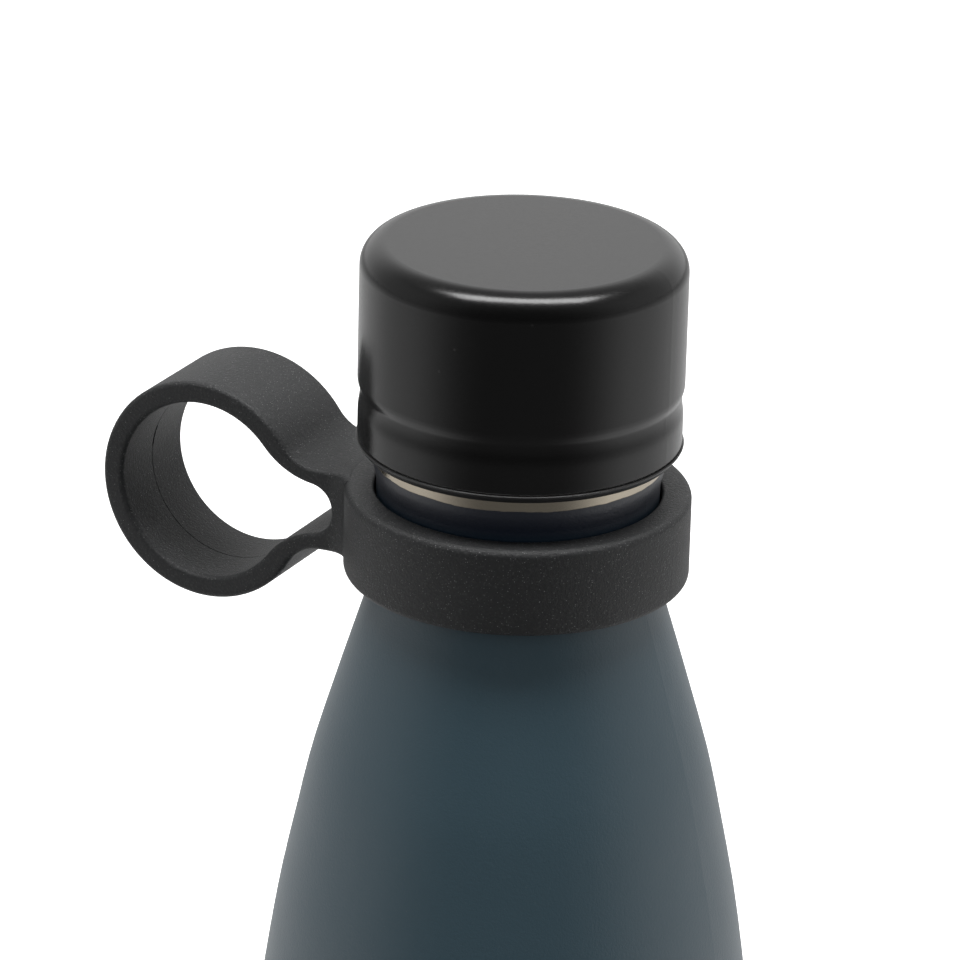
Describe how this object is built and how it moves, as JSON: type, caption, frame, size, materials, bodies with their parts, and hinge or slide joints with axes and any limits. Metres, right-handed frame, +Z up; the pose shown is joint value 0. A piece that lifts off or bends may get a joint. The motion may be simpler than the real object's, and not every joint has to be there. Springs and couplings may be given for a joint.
{
  "type": "insulated water bottle",
  "caption": "Double-walled steel water bottle with a long tapered shoulder, a screw stopper cap, and a rubber strap collar with a finger loop that turns on the neck.",
  "frame": {"origin": "centre of the plane the bottle stands on, on the bottle's axis", "axes": "+Z up along the bottle's axis, the strap's loop points along -X and its opening runs along Y"},
  "size_m": [0.0975, 0.072, 0.2602],
  "materials": {
    "body_paint": "satin powder coat",
    "steel": "brushed",
    "cap_paint": "satin",
    "cap_plastic": "matte",
    "foam": "expanded foam",
    "seal_silicone": "smooth silicone",
    "strap_silicone": "matte grained silicone",
    "copper": "bright copper foil",
    "solder": "fused glass solder",
    "getter_alloy": "sintered"
  },
  "bodies": {
    "bottle": {"outer_shell": "body_paint", "inner_vessel": "steel", "inner_bottom": "steel", "outer_base": "steel", "base_disc": "steel", "vacuum_seal": "solder", "getter": "getter_alloy", "getter_clip": "steel", "copper_foil": "copper"},
    "stopper_seal": {"stopper_gasket": "seal_silicone"},
    "cap": {"cap_shell": "cap_paint", "cap_core": "cap_plastic", "stopper_end": "cap_plastic", "cap_foam": "foam"},
    "strap": {"carry_strap": "strap_silicone"}
  },
  "joints": [
    {"name": "cap_lift", "type": "slide", "parent": "bottle", "child": "stopper_seal", "axis": [0, 0, 1], "range_m": [0, 0.045]},
    {"name": "cap_turn", "type": "hinge", "parent": "stopper_seal", "child": "cap", "pos_m": [0, 0, 0.232], "axis": [0, 0, 1], "range_deg": [0, 720]},
    {"name": "strap_swivel", "type": "hinge", "parent": "bottle", "child": "strap", "pos_m": [0, 0, 0.21825], "axis": [0, 0, 1], "continuous": true}
  ]
}
